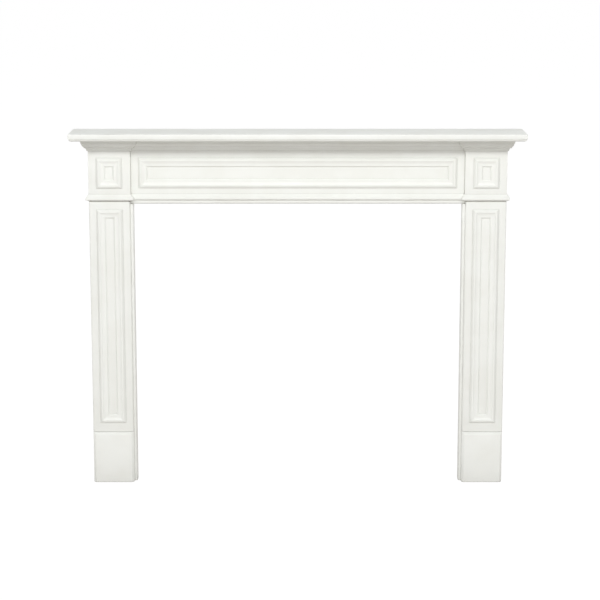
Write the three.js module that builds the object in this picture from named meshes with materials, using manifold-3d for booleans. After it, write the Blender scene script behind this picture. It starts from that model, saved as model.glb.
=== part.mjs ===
// Miniature fireplace mantel at dolls' house scale, 1:12. Millimetres, +Z up.
// The origin is on the floor, under the centre of the shelf. The wall is on the +Y side, and the front
// faces -Y.
// Depths are measured from the wall plane towards the room.

import * as THREE from "three";
import { mergeVertices } from "three/addons/utils/BufferGeometryUtils.js";
import Module from "manifold-3d";

const wasm = await Module();
wasm.setup();

// ---- Driving dimensions ----

const OPENING_WIDTH = 101.6;
const OPENING_HEIGHT = 88.9;
const LEG_OUTER = 64.4; // from the centre line to the outer side
const PILASTER_INNER = 51.7; // the backing board shows between this and the opening
const BLOCK_INNER = 51.45;
const GLUE_LINE = 0.02; // between pieces that are glued face to face
const MITRE_GAP = 0.01; // taken off each mitred or butted end of a moulding

const SHELF_LENGTH = 138.5;
const SHELF_DEPTH = 14.8;
const SHELF_THICKNESS = 2.19;
const SHELF_TOP = 111.84;
const NOSING_RADIUS = 0.78; // quarter round under the front and end edges
const NOSING_SET_BACK = 0.2; // the step between the square edge and the quarter round
const SHELF_ARRIS = 0.2; // small round on the upper edges

const BACKING_FACE = 3.175; // depth of the front of the backing boards and the frieze
const BACKING_THICKNESS = 1.6;
const PILASTER_FACE = 4.445;
const PLINTH_FACE = 4.975;
const RETURN_THICKNESS = 1.6;
const BOARD_ARRIS = 0.12; // softened long edges of the pilasters and corner blocks
const LINTEL_ARRIS = { depth: 0.42, height: 0.38 }; // sloping lower edge of the frieze board

const PLINTH_HEIGHT = 16.4;
const PLINTH_CHAMFER = 0.7;

const NECK_BOTTOM = 90.0;
const NECK_HEIGHT = 2.1;
const NECK_PROJECTION = 0.92;

const CROWN_HEIGHT = 4.05;
const CROWN_PROJECTION = 2.0;

const PANEL_MOULDING_WIDTH = 2.95;
const PANEL_MOULDING_HEIGHT = 0.75;
const PILASTER_PANEL = { inner: 53.95, outer: 62.1, bottom: 19.3, top: 87.4 };
const BLOCK_PANEL = { inner: 54.0, outer: 62.05, bottom: 93.85, top: 103.4 };
const FRIEZE_PANEL = { halfWidth: 49.1, bottom: 93.8, top: 103.3 };

const CLEAT_HEIGHT = 4.8;
const CLEAT_LENGTH = 118;
const GLUE_BLOCK = { width: 4.2, height: 9, depth: 1.5 };

// ---- Derived dimensions ----

const WALL_Y = SHELF_DEPTH / 2;
const SHELF_UNDERSIDE = SHELF_TOP - SHELF_THICKNESS;
const FRAME_TOP = SHELF_UNDERSIDE - GLUE_LINE;
const BACKING_BACK = BACKING_FACE - BACKING_THICKNESS;
const OPENING_HALF = OPENING_WIDTH / 2;
const RETURN_INNER = LEG_OUTER - RETURN_THICKNESS;
const CROWN_BOTTOM = FRAME_TOP - CROWN_HEIGHT;

// ---- Materials ----

const paint = new THREE.MeshStandardMaterial({
  color: 0xf1f1ec,
  roughness: 0.45,
  metalness: 0,
});
const bareWood = new THREE.MeshStandardMaterial({
  color: 0xdcc59c,
  roughness: 0.8,
  metalness: 0,
});

const mantel = new THREE.Group();

function add(name, geometry, material = paint) {
  const mesh = new THREE.Mesh(geometry, material);
  mesh.name = name;
  mantel.add(mesh);
  return mesh;
}

// ---- Shape helpers ----

const RIGHT = new THREE.Vector3(1, 0, 0);
const LEFT = new THREE.Vector3(-1, 0, 0);
const FRONT = new THREE.Vector3(0, -1, 0);
const BACK = new THREE.Vector3(0, 1, 0);
const UP = new THREE.Vector3(0, 0, 1);
const DOWN = new THREE.Vector3(0, 0, -1);

function yAt(depth) {
  return WALL_Y - depth;
}

function shapeFrom(points) {
  return new THREE.Shape(points.map(([x, y]) => new THREE.Vector2(x, y)));
}

// Points of an elliptical arc round a centre, from one angle to the other in degrees, end points included.
function arc(cx, cy, radiusX, radiusY, fromDegrees, toDegrees, steps) {
  const points = [];
  for (let i = 0; i <= steps; i++) {
    const angle = THREE.MathUtils.degToRad(fromDegrees + ((toDegrees - fromDegrees) * i) / steps);
    points.push([cx + radiusX * Math.cos(angle), cy + radiusY * Math.sin(angle)]);
  }
  return points;
}

// A plain board between two corners, given as [x, depth, z].
function board(low, high) {
  const size = [high[0] - low[0], high[1] - low[1], high[2] - low[2]];
  const geometry = new THREE.BoxGeometry(...size);
  geometry.translate(
    (low[0] + high[0]) / 2,
    yAt((low[1] + high[1]) / 2),
    (low[2] + high[2]) / 2,
  );
  return geometry;
}

// An outline in x and depth, extruded upwards between two heights.
function upright(outline, bottom, top) {
  const shape = shapeFrom(outline.map(([x, depth]) => [x, yAt(depth)]));
  const geometry = new THREE.ExtrudeGeometry(shape, {
    depth: top - bottom,
    bevelEnabled: false,
  });
  geometry.translate(0, 0, bottom);
  return geometry;
}

// An outline in y and z, extruded from one x to another.
function lengthwise(outline, xLow, xHigh) {
  const geometry = new THREE.ExtrudeGeometry(shapeFrom(outline), {
    depth: xHigh - xLow,
    bevelEnabled: false,
  });
  const placing = new THREE.Matrix4().makeBasis(BACK, UP, RIGHT);
  placing.setPosition(xLow, 0, 0);
  geometry.applyMatrix4(placing);
  return geometry;
}

// The plan of a board whose two front arrises are softened.
function softenedPlan(xLow, xHigh, back, front, arris) {
  return [
    [xLow, back],
    [xLow, front - arris],
    [xLow + arris, front],
    [xHigh - arris, front],
    [xHigh, front - arris],
    [xHigh, back],
  ];
}

// A length of moulding. The section is drawn as [distance out, distance along the second axis]. Each end is
// cut square (0), mitred for an outside corner (+1) or mitred for an inside corner (-1).
function mouldingLength(section, length, startMitre, endMitre, corner, outward, second) {
  const geometry = new THREE.ExtrudeGeometry(shapeFrom(section), {
    depth: length,
    bevelEnabled: false,
  });
  const place = geometry.getAttribute("position");
  for (let i = 0; i < place.count; i++) {
    const out = place.getX(i);
    const atEnd = place.getZ(i) > length / 2;
    const shift = atEnd ? endMitre * out - MITRE_GAP : MITRE_GAP - startMitre * out;
    place.setZ(i, place.getZ(i) + shift);
  }
  const run = new THREE.Vector3().crossVectors(outward, second);
  const placing = new THREE.Matrix4().makeBasis(outward, second, run);
  placing.setPosition(corner);
  geometry.applyMatrix4(placing);
  return geometry;
}

// A three.js geometry as a manifold-3d solid.
function solidOf(geometry) {
  const bare = new THREE.BufferGeometry();
  bare.setAttribute("position", geometry.getAttribute("position"));
  bare.setIndex(geometry.index);
  const merged = mergeVertices(bare, 1e-4);
  return new wasm.Manifold(
    new wasm.Mesh({
      numProp: 3,
      vertProperties: merged.attributes.position.array,
      triVerts: new Uint32Array(merged.index.array),
    }),
  );
}

function geometryOf(solid) {
  const mesh = solid.getMesh();
  const geometry = new THREE.BufferGeometry();
  geometry.setAttribute("position", new THREE.BufferAttribute(mesh.vertProperties, 3));
  geometry.setIndex(new THREE.BufferAttribute(mesh.triVerts, 1));
  return geometry;
}

// ---- Sections ----

// The crown, upwards: a small square foot, a cove, a fillet, a larger ovolo and a deep upper fillet.
function crownSection() {
  const foot = [0.42, 0.3];
  const cove = [0.9, 0.92];
  const fillet = [1.14, 1.36];
  const ovolo = [1.76, 2.46];
  return [
    [0, 0],
    [0.38, 0],
    ...arc(cove[0], foot[1], foot[0] - cove[0], cove[1] - foot[1], 0, 90, 5),
    [fillet[0], cove[1]],
    ...arc(fillet[0], ovolo[1], ovolo[0] - fillet[0], fillet[1] - ovolo[1], 90, 0, 5),
    [CROWN_PROJECTION, ovolo[1]],
    [CROWN_PROJECTION, CROWN_HEIGHT],
    [0, CROWN_HEIGHT],
  ];
}

// The necking, upwards: an undercut, a short upright edge and a splayed top.
function neckSection() {
  return [
    [0, 0],
    [0.06, 0.02],
    [0.87, 0.4],
    [NECK_PROJECTION, 0.5],
    [NECK_PROJECTION, 0.94],
    [0.84, 1.1],
    [0.14, 1.96],
    [0.14, NECK_HEIGHT],
    [0, NECK_HEIGHT],
  ];
}

// The panel moulding, from its outer edge to the field: a steep side, a ridge, a cove down to a flat, and a
// last small step.
function panelSection() {
  const ridge = PANEL_MOULDING_HEIGHT;
  const ridgeEnd = 1.08;
  const flat = [1.95, 0.34];
  return [
    [0, 0],
    [PANEL_MOULDING_WIDTH, 0],
    [PANEL_MOULDING_WIDTH, 0.06],
    [2.84, 0.08],
    [2.64, 0.33],
    ...arc(flat[0], ridge, ridgeEnd - flat[0], flat[1] - ridge, 90, 0, 5),
    [0.68, ridge],
    [0.48, 0.66],
    [0, 0.16],
  ];
}

// ---- Sub-parts ----

// The shelf: a board whose front and ends share one edge, a small round over a square edge, a step back and
// a quarter round.
function makeShelf() {
  const half = SHELF_LENGTH / 2;
  const nose = NOSING_RADIUS;
  const inset = NOSING_SET_BACK + nose;
  const arris = SHELF_ARRIS;
  const top = SHELF_TOP;
  const low = SHELF_UNDERSIDE;
  // From the underside up to the top, on the low side of the axis, with the edge's face at -reach.
  const edge = (reach) => [
    ...arc(-reach + inset, low + nose, nose, nose, -90, -180, 6),
    [-reach, low + nose + 0.04],
    ...arc(-reach + arris, top - arris, arris, arris, 180, 90, 2),
  ];
  const mirrored = (points) => points.map(([x, z]) => [-x, z]).reverse();
  const sideView = [...edge(WALL_Y), [WALL_Y, top], [WALL_Y, low]];
  const frontView = [...edge(half), ...mirrored(edge(half))];
  const alongX = lengthwise(sideView, -half - 1, half + 1);
  const alongY = new THREE.ExtrudeGeometry(shapeFrom(frontView), {
    depth: SHELF_DEPTH + 2,
    bevelEnabled: false,
  });
  const placing = new THREE.Matrix4().makeBasis(RIGHT, UP, FRONT);
  placing.setPosition(0, WALL_Y + 1, 0);
  alongY.applyMatrix4(placing);
  add("shelf", geometryOf(solidOf(alongX).intersect(solidOf(alongY))));
}

// A moulding that wraps the corner blocks and crosses the frieze: seven mitred lengths.
function makeWrappedMoulding(name, section, bottom) {
  const outerX = LEG_OUTER + GLUE_LINE;
  const innerX = BLOCK_INNER - GLUE_LINE;
  const blockY = yAt(PILASTER_FACE + GLUE_LINE);
  const friezeY = yAt(BACKING_FACE + GLUE_LINE);
  const endLength = PILASTER_FACE + GLUE_LINE;
  const blockWidth = outerX - innerX;
  const returnLength = friezeY - blockY;
  const at = (x, y) => new THREE.Vector3(x, y, bottom);
  const lengths = [
    ["right_end", endLength, 0, 1, at(outerX, WALL_Y), RIGHT],
    ["right_block", blockWidth, 1, 1, at(outerX, blockY), FRONT],
    ["right_inner_return", returnLength, 1, -1, at(innerX, blockY), LEFT],
    ["centre", 2 * innerX, -1, -1, at(innerX, friezeY), FRONT],
    ["left_inner_return", returnLength, -1, 1, at(-innerX, friezeY), RIGHT],
    ["left_block", blockWidth, 1, 1, at(-innerX, blockY), FRONT],
    ["left_end", endLength, 1, 0, at(-outerX, blockY), LEFT],
  ];
  for (const [place, length, startMitre, endMitre, corner, outward] of lengths) {
    add(`${name}_${place}`, mouldingLength(section, length, startMitre, endMitre, corner, outward, UP));
  }
}

// A rectangular frame of panel moulding on a face: four mitred lengths.
function makePanelFrame(name, xLow, xHigh, bottom, top, faceDepth) {
  const section = panelSection();
  const y = yAt(faceDepth + GLUE_LINE);
  const width = xHigh - xLow;
  const height = top - bottom;
  const sides = [
    ["bottom", width, new THREE.Vector3(xLow, y, bottom), UP],
    ["top", width, new THREE.Vector3(xHigh, y, top), DOWN],
    ["left", height, new THREE.Vector3(xLow, y, top), RIGHT],
    ["right", height, new THREE.Vector3(xHigh, y, bottom), LEFT],
  ];
  for (const [side, length, corner, inward] of sides) {
    add(`${name}_moulding_${side}`, mouldingLength(section, length, -1, -1, corner, inward, FRONT));
  }
}

function makeFrieze() {
  const innerEnd = RETURN_INNER - GLUE_LINE;
  const back = yAt(BACKING_BACK);
  const face = yAt(BACKING_FACE);
  const sideView = [
    [face + LINTEL_ARRIS.depth, OPENING_HEIGHT],
    [back, OPENING_HEIGHT],
    [back, FRAME_TOP],
    [face, FRAME_TOP],
    [face, OPENING_HEIGHT + LINTEL_ARRIS.height],
  ];
  add("frieze_board", lengthwise(sideView, -innerEnd, innerEnd));
  const { halfWidth, bottom, top } = FRIEZE_PANEL;
  makePanelFrame("frieze", -halfWidth, halfWidth, bottom, top, BACKING_FACE);
}

// Mirrors a span given from the centre line outwards onto one side, low x first.
function span(side, inner, outer) {
  return side > 0 ? [inner, outer] : [-outer, -inner];
}

// The solid plinth, with chamfers on the two upright front edges and the top front edge.
function plinthGeometry(xLow, xHigh) {
  const back = BACKING_FACE + GLUE_LINE;
  const plan = softenedPlan(xLow, xHigh, back, PLINTH_FACE, PLINTH_CHAMFER);
  const block = solidOf(upright(plan, 0, PLINTH_HEIGHT));
  const sideView = [
    [yAt(back), 0],
    [yAt(back), PLINTH_HEIGHT],
    [yAt(PLINTH_FACE - PLINTH_CHAMFER), PLINTH_HEIGHT],
    [yAt(PLINTH_FACE), PLINTH_HEIGHT - PLINTH_CHAMFER],
    [yAt(PLINTH_FACE), 0],
  ];
  const topCut = lengthwise(sideView, xLow - 1, xHigh + 1);
  return geometryOf(block.intersect(solidOf(topCut)));
}

function makeLeg(name, side) {
  const faceBack = BACKING_FACE + GLUE_LINE;
  const [faceLow, faceHigh] = span(side, PILASTER_INNER, LEG_OUTER);
  const [blockLow, blockHigh] = span(side, BLOCK_INNER, LEG_OUTER);
  const pilasterPlan = softenedPlan(faceLow, faceHigh, faceBack, PILASTER_FACE, BOARD_ARRIS);
  const blockPlan = softenedPlan(blockLow, blockHigh, faceBack, PILASTER_FACE, BOARD_ARRIS);

  add(`${name}_plinth`, plinthGeometry(faceLow, faceHigh));
  add(`${name}_pilaster`, upright(pilasterPlan, PLINTH_HEIGHT + GLUE_LINE, NECK_BOTTOM - GLUE_LINE));
  add(`${name}_corner_block`, upright(blockPlan, NECK_BOTTOM, FRAME_TOP));

  const legPanel = span(side, PILASTER_PANEL.inner, PILASTER_PANEL.outer);
  makePanelFrame(`${name}_pilaster`, ...legPanel, PILASTER_PANEL.bottom, PILASTER_PANEL.top, PILASTER_FACE);
  const blockPanel = span(side, BLOCK_PANEL.inner, BLOCK_PANEL.outer);
  makePanelFrame(`${name}_block`, ...blockPanel, BLOCK_PANEL.bottom, BLOCK_PANEL.top, PILASTER_FACE);

  const [backingLow, backingHigh] = span(side, OPENING_HALF, RETURN_INNER - GLUE_LINE);
  const backingTop = OPENING_HEIGHT - GLUE_LINE;
  add(
    `${name}_backing_board`,
    board([backingLow, BACKING_BACK, 0], [backingHigh, BACKING_FACE, backingTop]),
  );

  const [returnLow, returnHigh] = span(side, RETURN_INNER, LEG_OUTER);
  add(`${name}_side_return`, board([returnLow, 0, 0], [returnHigh, BACKING_FACE, FRAME_TOP]));

  const stripBack = BACKING_BACK - GLUE_LINE;
  const [jambLow, jambHigh] = span(side, OPENING_HALF, OPENING_HALF + RETURN_THICKNESS);
  add(`${name}_jamb_strip`, board([jambLow, 0, 0], [jambHigh, stripBack, backingTop]));
}

// Out of sight behind the face: the soffit strip, the cleat under the shelf and the glue blocks.
function makeBackPieces() {
  const front = BACKING_BACK - GLUE_LINE;
  const soffitHalf = OPENING_HALF + RETURN_THICKNESS;
  add(
    "soffit_strip",
    board([-soffitHalf, 0, OPENING_HEIGHT], [soffitHalf, front, OPENING_HEIGHT + RETURN_THICKNESS]),
  );
  const cleatHalf = CLEAT_LENGTH / 2;
  add(
    "shelf_cleat",
    board([-cleatHalf, 0, FRAME_TOP - CLEAT_HEIGHT], [cleatHalf, front, FRAME_TOP]),
    bareWood,
  );
  const blockFloors = [2, 50];
  for (const [name, side] of [["left", -1], ["right", 1]]) {
    blockFloors.forEach((floor, i) => {
      const outer = RETURN_INNER - GLUE_LINE;
      const [low, high] = span(side, outer - GLUE_BLOCK.width, outer);
      add(
        `${name}_glue_block_${i + 1}`,
        board([low, front - GLUE_BLOCK.depth, floor], [high, front, floor + GLUE_BLOCK.height]),
        bareWood,
      );
    });
  }
}

makeShelf();
makeWrappedMoulding("crown", crownSection(), CROWN_BOTTOM);
makeWrappedMoulding("neck_moulding", neckSection(), NECK_BOTTOM);
makeFrieze();
makeLeg("left", -1);
makeLeg("right", 1);
makeBackPieces();

export default mantel;
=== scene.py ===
"""The looks of a miniature fireplace mantel: finely moulded, satin-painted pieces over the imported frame.

Sizes on the object are in millimetres, turned into metres by MM; the stage and its lights are in metres.
Every piece's place comes from the frame's own boxes.
"""

import math

import bmesh
import bpy
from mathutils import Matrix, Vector


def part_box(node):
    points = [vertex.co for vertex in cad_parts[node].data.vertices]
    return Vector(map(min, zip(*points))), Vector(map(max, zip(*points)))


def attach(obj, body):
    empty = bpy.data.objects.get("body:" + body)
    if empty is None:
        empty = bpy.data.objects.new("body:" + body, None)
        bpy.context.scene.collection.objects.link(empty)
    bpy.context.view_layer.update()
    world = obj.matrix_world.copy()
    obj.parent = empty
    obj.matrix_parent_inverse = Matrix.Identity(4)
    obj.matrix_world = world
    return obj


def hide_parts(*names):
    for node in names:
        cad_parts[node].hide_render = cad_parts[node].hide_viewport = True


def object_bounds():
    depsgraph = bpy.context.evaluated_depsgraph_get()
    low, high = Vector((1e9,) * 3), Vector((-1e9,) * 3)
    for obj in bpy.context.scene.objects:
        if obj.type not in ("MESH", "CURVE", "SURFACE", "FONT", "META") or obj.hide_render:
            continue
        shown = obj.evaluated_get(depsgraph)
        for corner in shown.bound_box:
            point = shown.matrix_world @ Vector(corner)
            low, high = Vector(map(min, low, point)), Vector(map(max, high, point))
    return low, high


MM = 0.001

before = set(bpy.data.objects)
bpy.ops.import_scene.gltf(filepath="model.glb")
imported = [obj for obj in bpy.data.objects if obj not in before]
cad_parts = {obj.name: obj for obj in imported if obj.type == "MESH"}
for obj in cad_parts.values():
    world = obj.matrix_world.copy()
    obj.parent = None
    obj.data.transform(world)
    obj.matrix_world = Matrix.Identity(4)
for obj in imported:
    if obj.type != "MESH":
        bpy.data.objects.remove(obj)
CAD_LOW, CAD_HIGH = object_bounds()

RIGHT = Vector((1, 0, 0))
LEFT = Vector((-1, 0, 0))
FRONT = Vector((0, -1, 0))
UP = Vector((0, 0, 1))
DOWN = Vector((0, 0, -1))

# ---- Camera ----

LENS_MM = 110
SENSOR_MM = 36
CAMERA_SHIFT = -0.11
CAMERA_DISTANCE = 562 * MM  # in front of the wall plane
CAMERA_HEIGHT = 180 * MM
CAMERA_PITCH = 10.2  # degrees down
CAMERA_SIDE = 0.7 * MM


def make_camera():
    data = bpy.data.cameras.new("camera")
    data.lens = LENS_MM
    data.sensor_width = SENSOR_MM
    data.shift_y = CAMERA_SHIFT
    data.clip_start = 0.01
    data.clip_end = 20
    camera = bpy.data.objects.new("camera", data)
    camera.location = (CAMERA_SIDE, CAD_HIGH.y - CAMERA_DISTANCE, CAMERA_HEIGHT)
    camera.rotation_euler = (math.radians(90 - CAMERA_PITCH), 0, 0)
    bpy.context.scene.collection.objects.link(camera)
    bpy.context.scene.camera = camera


# ---- Materials ----


class Tree:
    """A small helper that adds and wires shader nodes."""

    def __init__(self, name):
        self.material = bpy.data.materials.new(name)
        self.material.use_nodes = True
        self.tree = self.material.node_tree
        self.surface = self.tree.nodes["Principled BSDF"]
        self.output = self.tree.nodes["Material Output"]

    def add(self, kind, inputs=None, **settings):
        node = self.tree.nodes.new(kind)
        for key, value in settings.items():
            setattr(node, key, value)
        for key, value in (inputs or {}).items():
            self.put(node.inputs[key], value)
        return node

    def put(self, socket, value):
        if isinstance(value, bpy.types.NodeSocket):
            self.tree.links.new(value, socket)
        else:
            socket.default_value = value

    def position(self):
        return self.add("ShaderNodeTexCoord").outputs["Object"]

    def noise(self, per_metre, detail=2.0, roughness=0.5):
        """Noise whose frequency, in features per metre, is given for each axis."""
        scaled = self.add(
            "ShaderNodeVectorMath",
            {0: self.position(), 1: per_metre},
            operation="MULTIPLY",
        )
        noise = self.add(
            "ShaderNodeTexNoise",
            {"Vector": scaled.outputs[0], "Scale": 1.0, "Detail": detail, "Roughness": roughness},
        )
        return noise.outputs["Fac"]

    def span(self, value, low, high, to_low=0.0, to_high=1.0):
        """Maps low..high smoothly to to_low..to_high."""
        node = self.add(
            "ShaderNodeMapRange",
            {"Value": value, "From Min": low, "From Max": high, "To Min": to_low, "To Max": to_high},
            interpolation_type="SMOOTHSTEP",
        )
        return node.outputs["Result"]

    def maths(self, operation, first, second):
        node = self.add("ShaderNodeMath", {0: first, 1: second}, operation=operation)
        return node.outputs[0]

    def mix(self, factor, first, second):
        node = self.add("ShaderNodeMix", data_type="RGBA")
        self.put(node.inputs[0], factor)
        self.put(node.inputs[6], first)
        self.put(node.inputs[7], second)
        return node.outputs[2]

    def bump(self, height, strength, distance, under=None):
        inputs = {"Height": height, "Strength": strength, "Distance": distance}
        if under is not None:
            inputs["Normal"] = under
        return self.add("ShaderNodeBump", inputs).outputs["Normal"]


def along(axis, fine, coarse):
    """Frequencies that are coarse along one axis, where the grain or the brush runs, and fine across it."""
    return tuple(coarse if i == axis else fine for i in range(3))


PAINT = (0.851, 0.866, 0.834, 1)
PAINT_THIN = (0.828, 0.840, 0.802, 1)
# painted shade: the darker colour mixed into creases and corners in place of the shadow that falls there
PAINTED_CREASE_SHADE = (0.52, 0.515, 0.475, 1)
WOOD_PALE = (0.74, 0.58, 0.38, 1)
WOOD_DARK = (0.60, 0.43, 0.25, 1)

# how far the painted crease shade looks for nearby surfaces
CREASE_SHADE_REACH = 0.55 * MM
STROKE_DEPTH = 0.02 * MM
GRAIN_DEPTH = 0.03 * MM


def paint_colour_and_crease_shade(tree):
    """Off-white with a faint unevenness, with painted shade darkening the creases and corners that ambient
    occlusion finds.
    """
    cloud = tree.span(tree.noise((110, 110, 110), 3.0), 0.35, 0.65)
    body = tree.mix(cloud, PAINT, PAINT_THIN)
    # painted shade: ambient occlusion darkens the paint colour in creases and corners
    crease_shading = tree.add("ShaderNodeAmbientOcclusion", {"Distance": CREASE_SHADE_REACH}, samples=8)
    unshaded_share = tree.span(crease_shading.outputs["AO"], 0.3, 0.86)
    return tree.mix(unshaded_share, PAINTED_CREASE_SHADE, body)


def wood_grain(tree, axis):
    return tree.noise(along(axis, 3200, 90), 4.0, 0.6)


def wood_colour(tree, axis):
    """Basswood: pale, with fine straight grain and soft wider bands."""
    grain = wood_grain(tree, axis)
    bands = tree.noise(along(axis, 420, 14), 2.0)
    both = tree.maths("ADD", tree.maths("MULTIPLY", grain, 0.55), tree.maths("MULTIPLY", bands, 0.45))
    return tree.mix(tree.span(both, 0.36, 0.64), WOOD_PALE, WOOD_DARK)


def brushed_relief(tree, axis):
    """Fine brush strokes along the piece, over the soft bloom of sprayed primer."""
    strokes = tree.noise(along(axis, 2600, 110), 3.0, 0.55)
    bloom = tree.noise((1500, 1500, 1500), 2.0)
    first = tree.bump(bloom, 0.12, STROKE_DEPTH)
    return tree.bump(strokes, 0.16, STROKE_DEPTH, first)


def finish_paint(tree, axis):
    surface = tree.surface
    sheen = tree.noise(along(axis, 1400, 160), 2.0)
    tree.put(surface.inputs["Base Color"], paint_colour_and_crease_shade(tree))
    tree.put(surface.inputs["Roughness"], tree.span(sheen, 0.3, 0.7, 0.36, 0.5))
    tree.put(surface.inputs["Normal"], brushed_relief(tree, axis))
    surface.inputs["Specular IOR Level"].default_value = 0.45
    surface.inputs["Coat Weight"].default_value = 0.08
    surface.inputs["Coat Roughness"].default_value = 0.32


def painted(name, axis):
    """Satin white paint all over, brushed along one axis."""
    tree = Tree(name)
    finish_paint(tree, axis)
    return tree.material


def painted_front(name, axis):
    """Satin white paint, with bare wood on the face towards the wall, inside a ragged painted margin."""
    tree = Tree(name)
    finish_paint(tree, axis)
    wood = tree.add("ShaderNodeBsdfPrincipled")
    tree.put(wood.inputs["Base Color"], wood_colour(tree, axis))
    tree.put(wood.inputs["Normal"], tree.bump(wood_grain(tree, axis), 0.35, GRAIN_DEPTH))
    wood.inputs["Roughness"].default_value = 0.72
    normal = tree.add("ShaderNodeNewGeometry").outputs["Normal"]
    facing = tree.add("ShaderNodeSeparateXYZ", {0: normal}).outputs["Y"]
    ragged = tree.maths("MULTIPLY", tree.noise((700, 700, 700), 3.0), 0.3)
    bare = tree.span(tree.maths("SUBTRACT", facing, ragged), 0.55, 0.75)
    both = tree.add("ShaderNodeMixShader", {0: bare, 1: tree.surface.outputs[0], 2: wood.outputs[0]})
    tree.put(tree.output.inputs["Surface"], both.outputs[0])
    return tree.material


def bare_wood(name, axis):
    tree = Tree(name)
    surface = tree.surface
    tree.put(surface.inputs["Base Color"], wood_colour(tree, axis))
    grain = wood_grain(tree, axis)
    tree.put(surface.inputs["Normal"], tree.bump(grain, 0.4, GRAIN_DEPTH))
    tree.put(surface.inputs["Roughness"], tree.span(grain, 0.3, 0.7, 0.62, 0.82))
    surface.inputs["Specular IOR Level"].default_value = 0.35
    return tree.material


X_AXIS, Y_AXIS, Z_AXIS = 0, 1, 2
PAINTED = {axis: painted(f"satin_paint_{'xyz'[axis]}", axis) for axis in (X_AXIS, Y_AXIS, Z_AXIS)}
PAINTED_FRONT = {axis: painted_front(f"painted_front_{'xyz'[axis]}", axis) for axis in (X_AXIS, Z_AXIS)}
BARE = {axis: bare_wood(f"bare_basswood_{'xyz'[axis]}", axis) for axis in (X_AXIS, Z_AXIS)}

# ---- Sections ----


def rounded(points):
    """A polyline whose corners are rounded: each point is (x, y, radius), in mm; radius 0 stays sharp."""
    steps = 4
    made = []
    count = len(points)
    for i, (x, y, radius) in enumerate(points):
        here = Vector((x, y))
        if radius == 0:
            made.append(here)
            continue
        before = (Vector(points[i - 1][:2]) - here).normalized()
        after = (Vector(points[(i + 1) % count][:2]) - here).normalized()
        turn = before.angle(after)
        reach = radius / math.tan(turn / 2)
        start = here + before * reach
        end = here + after * reach
        for step in range(steps + 1):
            t = step / steps
            made.append(start.lerp(here, t).lerp(here.lerp(end, t), t))
    return made


def curve(centre, reach, from_degrees, to_degrees, steps):
    """Points along an ellipse between two angles, for coves and ovolos, with no rounding of their own."""
    points = []
    for i in range(steps + 1):
        angle = math.radians(from_degrees + (to_degrees - from_degrees) * i / steps)
        points.append((centre[0] + reach[0] * math.cos(angle), centre[1] + reach[1] * math.sin(angle), 0))
    return points


SOFT = 0.05  # mm, the round that paint gives a moulding's edge


def crown_section(height):
    """Upwards from the face: a small square foot, a cove, a fillet, an ovolo and a deep upper fillet."""
    cove = curve((0.9, 0.3), (-0.48, 0.62), 0, 90, 12)
    ovolo = curve((1.14, 2.46), (0.62, -1.1), 90, 0, 12)
    return rounded(
        [
            (0, 0, 0),
            (0.38, 0, SOFT),
            *cove,
            (1.14, 0.92, SOFT),
            *ovolo,
            (2.0, 2.46, SOFT),
            (2.0, height, 0),
            (0, height, 0),
        ]
    )


def neck_section(height):
    """Upwards from the face: an undercut, a short upright edge and a splayed top."""
    return rounded(
        [
            (0, 0, 0),
            (0.06, 0.02, 0),
            (0.9, 0.42, 0.06),
            (0.92, 1.02, 0.12),
            (0.14, 1.96, 0.08),
            (0.14, height, 0),
            (0, height, 0),
        ]
    )


def panel_section(width, ridge):
    """Inwards from the outer edge: a steep side, a ridge, a cove that eases to a flat, and a last step."""
    ridge_end, cove_end, flat, entry = 1.06, 2.1, 0.44, 20
    run = (cove_end - ridge_end) / math.cos(math.radians(entry))
    fall = (ridge - flat) / (1 - math.sin(math.radians(entry)))
    cove = curve((cove_end, flat + fall), (-run, -fall), 90, entry, 10)
    return rounded(
        [
            (0, 0, 0),
            (width, 0, 0),
            (width, 0.05, 0.02),
            (2.86, 0.05, 0.02),
            (2.5, flat, 0.03),
            *cove,
            (0.66, ridge, 0.1),
            (0.46, 0.62, 0.08),
            (0, 0.16, 0),
        ]
    )


# ---- Shapes ----


def finish(obj, material, nodes):
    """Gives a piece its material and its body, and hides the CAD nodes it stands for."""
    obj.data.materials.append(material)
    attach(obj, "root")
    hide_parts(*nodes)
    return obj


def object_from(name, mesh):
    """An object from a bmesh, smooth except at its sharper edges."""
    bmesh.ops.recalc_face_normals(mesh, faces=mesh.faces)
    limit = math.radians(32)
    for face in mesh.faces:
        face.smooth = True
    for edge in mesh.edges:
        edge.smooth = len(edge.link_faces) == 2 and edge.calc_face_angle(0) < limit
    data = bpy.data.meshes.new(name)
    mesh.to_mesh(data)
    mesh.free()
    obj = bpy.data.objects.new(name, data)
    bpy.context.scene.collection.objects.link(obj)
    return obj


def moulding(node, section, length, start_mitre, end_mitre, corner, outward, second, material):
    """A section swept along a run, with each end square (0) or mitred (+1 outwards, -1 inwards)."""
    run = outward.cross(second)
    mesh = bmesh.new()
    rings = ([], [])
    for point in section:
        out, up = point.x * MM, point.y * MM
        base = corner + outward * out + second * up
        rings[0].append(mesh.verts.new(base - run * (start_mitre * out)))
        rings[1].append(mesh.verts.new(base + run * (length + end_mitre * out)))
    count = len(section)
    for i in range(count):
        j = (i + 1) % count
        mesh.faces.new((rings[0][i], rings[0][j], rings[1][j], rings[1][i]))
    mesh.faces.new(rings[0][::-1])
    mesh.faces.new(rings[1])
    return finish(object_from(f"{node}_fine", mesh), material, [node])


def axis_of(run):
    return max(range(3), key=lambda i: abs(run[i]))


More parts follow.
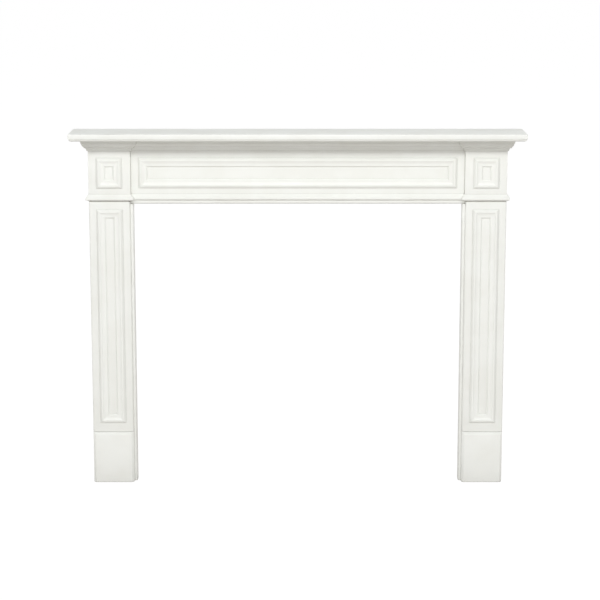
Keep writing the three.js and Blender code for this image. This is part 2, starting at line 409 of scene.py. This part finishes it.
def make_wrapped_moulding(prefix, section_of):
    """The seven lengths that wrap the corner blocks and cross the frieze."""
    block_low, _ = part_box("right_corner_block")
    _, return_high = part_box("right_side_return")
    frieze_low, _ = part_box("frieze_board")
    centre_low, centre_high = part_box(f"{prefix}_centre")
    wall = CAD_HIGH.y
    outer, inner = return_high.x, block_low.x
    block_y, frieze_y = block_low.y, frieze_low.y
    bottom = centre_low.z
    section = section_of((centre_high.z - bottom) / MM)

    def at(x, y):
        return Vector((x, y, bottom))

    lengths = (
        ("right_end", wall - block_y, 0, 1, at(outer, wall), RIGHT),
        ("right_block", outer - inner, 1, 1, at(outer, block_y), FRONT),
        ("right_inner_return", frieze_y - block_y, 1, -1, at(inner, block_y), LEFT),
        ("centre", 2 * inner, -1, -1, at(inner, frieze_y), FRONT),
        ("left_inner_return", frieze_y - block_y, -1, 1, at(-inner, frieze_y), RIGHT),
        ("left_block", outer - inner, 1, 1, at(-inner, block_y), FRONT),
        ("left_end", wall - block_y, 1, 0, at(-outer, block_y), LEFT),
    )
    for place, length, start, end, corner, outward in lengths:
        material = PAINTED[axis_of(outward.cross(UP))]
        moulding(f"{prefix}_{place}", section, length, start, end, corner, outward, UP, material)


def make_panel_frame(prefix):
    """The four mitred lengths round one panel."""
    low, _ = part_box(f"{prefix}_moulding_bottom")
    ridge_low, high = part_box(f"{prefix}_moulding_top")
    left_low, left_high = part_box(f"{prefix}_moulding_left")
    back = high.y
    section = panel_section((left_high.x - left_low.x) / MM, (back - ridge_low.y) / MM)
    width, height = high.x - low.x, high.z - low.z
    sides = (
        ("bottom", width, Vector((low.x, back, low.z)), UP),
        ("top", width, Vector((high.x, back, high.z)), DOWN),
        ("left", height, Vector((low.x, back, high.z)), RIGHT),
        ("right", height, Vector((high.x, back, low.z)), LEFT),
    )
    for side, length, corner, inward in sides:
        material = PAINTED[axis_of(inward.cross(FRONT))]
        moulding(f"{prefix}_moulding_{side}", section, length, -1, -1, corner, inward, FRONT, material)


def box_mesh(low, high):
    mesh = bmesh.new()
    bmesh.ops.create_cube(mesh, size=1)
    for vert in mesh.verts:
        vert.co = Vector(
            (
                high.x if vert.co.x > 0 else low.x,
                high.y if vert.co.y > 0 else low.y,
                high.z if vert.co.z > 0 else low.z,
            )
        )
    return mesh


def edges_on(mesh, *planes):
    """The edges whose two ends lie on every plane given as (axis, value)."""
    near = 1e-6
    return [
        edge
        for edge in mesh.edges
        if all(abs(vert.co[axis] - value) < near for vert in edge.verts for axis, value in planes)
    ]


def soften(mesh, edges, radius, segments):
    bmesh.ops.bevel(
        mesh,
        geom=edges,
        offset=radius * MM,
        offset_type="OFFSET",
        segments=segments,
        profile=0.5,
        affect="EDGES",
        clamp_overlap=True,
    )


def make_board(node, axis, material_set=PAINTED_FRONT):
    """A plain board with sanded arrises all round."""
    arris = 0.09
    low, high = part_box(node)
    mesh = box_mesh(low, high)
    soften(mesh, mesh.edges[:], arris, 3)
    return finish(object_from(f"{node}_fine", mesh), material_set[axis], [node])


def make_backing_board(node):
    """A backing board, with a broad eased chamfer down its front edge at the side of the opening."""
    chamfer, arris = 0.7, 0.04
    sharp = math.radians(60)  # only edges that the chamfer has left alone are sharper than this
    low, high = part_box(node)
    mesh = box_mesh(low, high)
    opening_side = min(low.x, high.x, key=abs)
    soften(mesh, edges_on(mesh, (Y_AXIS, low.y), (X_AXIS, opening_side)), chamfer, 2)
    soften(mesh, [edge for edge in mesh.edges if edge.calc_face_angle(0) > sharp], arris, 2)
    return finish(object_from(f"{node}_fine", mesh), PAINTED_FRONT[Z_AXIS], [node])


def make_plinth(node):
    """The plinth block: broad flat chamfers on its front edges, each with a softened line."""
    chamfer, arris = 0.7, 0.07
    low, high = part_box(node)
    mesh = box_mesh(low, high)
    front = (Y_AXIS, low.y)
    chamfered = (
        edges_on(mesh, front, (X_AXIS, low.x))
        + edges_on(mesh, front, (X_AXIS, high.x))
        + edges_on(mesh, front, (Z_AXIS, high.z))
    )
    soften(mesh, chamfered, chamfer, 1)
    soften(mesh, mesh.edges[:], arris, 2)
    return finish(object_from(f"{node}_fine", mesh), PAINTED[Z_AXIS], [node])


def plan(low, high, inset, radius):
    """A board's outline from above, inset on its front and ends, with two rounded front corners."""
    steps = 4
    x_low, x_high, y_front = low.x + inset, high.x - inset, low.y + inset
    outline = [(x_low, high.y)]
    for centre, start in ((x_low + radius, 180), (x_high - radius, 270)):
        for i in range(steps + 1):
            angle = math.radians(start + 90 * i / steps)
            outline.append((centre + radius * math.cos(angle), y_front + radius + radius * math.sin(angle)))
    outline.append((x_high, high.y))
    return outline


def stacked_board(node, levels, radius, material):
    """A board whose edge profile runs along its front and ends: each level is (inset, rise), in mm."""
    low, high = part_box(node)
    mesh = bmesh.new()
    rings = []
    for inset, rise in levels:
        outline = plan(low, high, inset * MM, radius * MM)
        rings.append([mesh.verts.new((x, y, low.z + rise * MM)) for x, y in outline])
    for lower, upper in zip(rings, rings[1:]):
        for i in range(len(lower) - 1):
            mesh.faces.new((lower[i], lower[i + 1], upper[i + 1], upper[i]))
    mesh.faces.new(rings[0][::-1])
    mesh.faces.new(rings[-1])
    mesh.faces.new([ring[0] for ring in rings] + [ring[-1] for ring in rings[::-1]])
    return finish(object_from(f"{node}_fine", mesh), material, [node])


def height_of(node):
    low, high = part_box(node)
    return (high.z - low.z) / MM


def make_shelf():
    """The shelf: from below, a quarter round, a step out to a square edge and a small round on top."""
    nose, set_back, arris, corner = 0.78, 0.2, 0.2, 0.2
    top = height_of("shelf")
    nosing = curve((set_back + nose, nose), (-nose, -nose), 90, 0, 12)
    step = [(set_back, nose + 0.03), (0.04, nose + 0.04), (0, nose + 0.09)]
    upper = curve((arris, top - arris), (-arris, arris), 0, 90, 6)
    levels = [point[:2] for point in (*nosing, *step, *upper)]
    stacked_board("shelf", levels, corner, PAINTED_FRONT[X_AXIS])


def make_pilaster(node):
    """A pilaster, with a sanded foot and a small cove round its head, under the neck moulding."""
    arris, cove, corner = 0.12, 0.28, 0.45
    top = height_of(node)
    foot = curve((arris, arris), (-arris, -arris), 90, 0, 3)
    head = curve((0, top), (cove, -cove), 90, 0, 6)
    levels = [point[:2] for point in (*foot, *head)]
    stacked_board(node, levels, corner, PAINTED_FRONT[Z_AXIS])


def make_frieze_board():
    """The frieze board, with a broad sloping arris along its lower front edge, over the opening."""
    low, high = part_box("frieze_board")
    depth, height = (high.y - low.y) / MM, (high.z - low.z) / MM
    slope_back, slope_up, ease = 0.42, 0.38, 0.1
    slope = [(depth - slope_back, 0, ease), (depth, slope_up, ease)]
    section = rounded([(0, 0, SOFT), *slope, (depth, height, 0), (0, height, 0)])
    corner = Vector((high.x, high.y, low.z))
    material = PAINTED_FRONT[X_AXIS]
    moulding("frieze_board", section, high.x - low.x, 0, 0, corner, FRONT, UP, material)


def make_boards():
    make_frieze_board()
    make_board("soffit_strip", X_AXIS)
    make_board("shelf_cleat", X_AXIS, BARE)
    for side in ("left", "right"):
        for part in ("corner_block", "side_return", "jamb_strip"):
            make_board(f"{side}_{part}", Z_AXIS)
        make_backing_board(f"{side}_backing_board")
        make_pilaster(f"{side}_pilaster")
        for number in (1, 2):
            make_board(f"{side}_glue_block_{number}", Z_AXIS, BARE)
        make_plinth(f"{side}_plinth")


# ---- Stage and light ----

FLOOR_SIZE = 6.0
FLOOR_BOUNCE = (0.59, 0.56, 0.535, 1)  # what the floor throws back onto the object
FLOOR_SEEN = (0.06, 0.06, 0.06, 1)  # what the camera sees, on top of a glow
FLOOR_GLOW = 0.98
BACKDROP = 1.0
AMBIENT = 0.31
STRIP_DISTANCE = 0.9
SHELF_LEVEL = 0.105  # elevations are seen from here


def make_floor():
    """A white floor that fades into the white background."""
    bpy.ops.mesh.primitive_plane_add(size=FLOOR_SIZE, location=(0, 0, 0))
    floor = bpy.context.object
    floor.name = "floor"
    tree = Tree("floor")
    tree.surface.inputs["Base Color"].default_value = FLOOR_BOUNCE
    tree.surface.inputs["Roughness"].default_value = 0.9
    tree.surface.inputs["Specular IOR Level"].default_value = 0
    seen = tree.add("ShaderNodeBsdfPrincipled")
    seen.inputs["Base Color"].default_value = FLOOR_SEEN
    seen.inputs["Roughness"].default_value = 1.0
    seen.inputs["Specular IOR Level"].default_value = 0
    seen.inputs["Emission Color"].default_value = (1, 1, 1, 1)
    seen.inputs["Emission Strength"].default_value = FLOOR_GLOW
    path = tree.add("ShaderNodeLightPath").outputs["Is Camera Ray"]
    both = tree.add("ShaderNodeMixShader", {0: path, 1: tree.surface.outputs[0], 2: seen.outputs[0]})
    tree.put(tree.output.inputs["Surface"], both.outputs[0])
    floor.data.materials.append(tree.material)


def make_world():
    world = bpy.data.worlds.new("studio")
    world.use_nodes = True
    nodes, links = world.node_tree.nodes, world.node_tree.links
    background = nodes["Background"]
    background.inputs["Color"].default_value = (1, 1, 1, 1)
    path = nodes.new("ShaderNodeLightPath")
    strength = nodes.new("ShaderNodeMapRange")
    strength.inputs["To Min"].default_value = AMBIENT
    strength.inputs["To Max"].default_value = BACKDROP
    links.new(path.outputs["Is Camera Ray"], strength.inputs["Value"])
    links.new(strength.outputs["Result"], background.inputs["Strength"])
    bpy.context.scene.world = world


def area_light(name, place, aim, size, power):
    data = bpy.data.lights.new(name, "AREA")
    data.shape = "RECTANGLE"
    data.size, data.size_y = size
    data.energy = power
    light = bpy.data.objects.new(name, data)
    light.location = place
    light.rotation_euler = (aim - Vector(place)).to_track_quat("-Z", "Y").to_euler()
    light.visible_camera = False
    bpy.context.scene.collection.objects.link(light)


def strip_light(name, bearing, low_degrees, high_degrees, width, power):
    """An upright soft box at a bearing from straight ahead, between two elevations seen from the shelf."""
    low = SHELF_LEVEL + STRIP_DISTANCE * math.tan(math.radians(low_degrees))
    high = SHELF_LEVEL + STRIP_DISTANCE * math.tan(math.radians(high_degrees))
    turn = math.radians(bearing)
    middle = Vector((0, 0, (low + high) / 2))
    place = middle + STRIP_DISTANCE * Vector((math.sin(turn), -math.cos(turn), 0))
    area_light(name, place, middle, (width, high - low), power)


def make_lights():
    """Soft boxes in front, at both sides, behind and overhead: angles in degrees, powers in watts."""
    strip_light("front_low", 0, 5, 14, 0.45, 1.05)
    strip_light("front_high", 0, 23, 30, 0.45, 5.0)
    for side, name in ((-1, "left"), (1, "right")):
        strip_light(f"{name}_side", 32 * side, 22, 35, 0.45, 1.2)
        strip_light(f"{name}_back", 120 * side, 0, 12, 0.5, 2.5)
    area_light("top", (0, 0, 0.75), Vector((0, 0, 0)), (0.30, 0.12), 1.45)


make_camera()
make_world()
make_lights()
make_floor()
make_shelf()
make_wrapped_moulding("crown", crown_section)
make_wrapped_moulding("neck_moulding", neck_section)
for panel in ("frieze", "left_block", "right_block", "left_pilaster", "right_pilaster"):
    make_panel_frame(panel)
make_boards()

bpy.context.scene.view_settings.view_transform = "Standard"
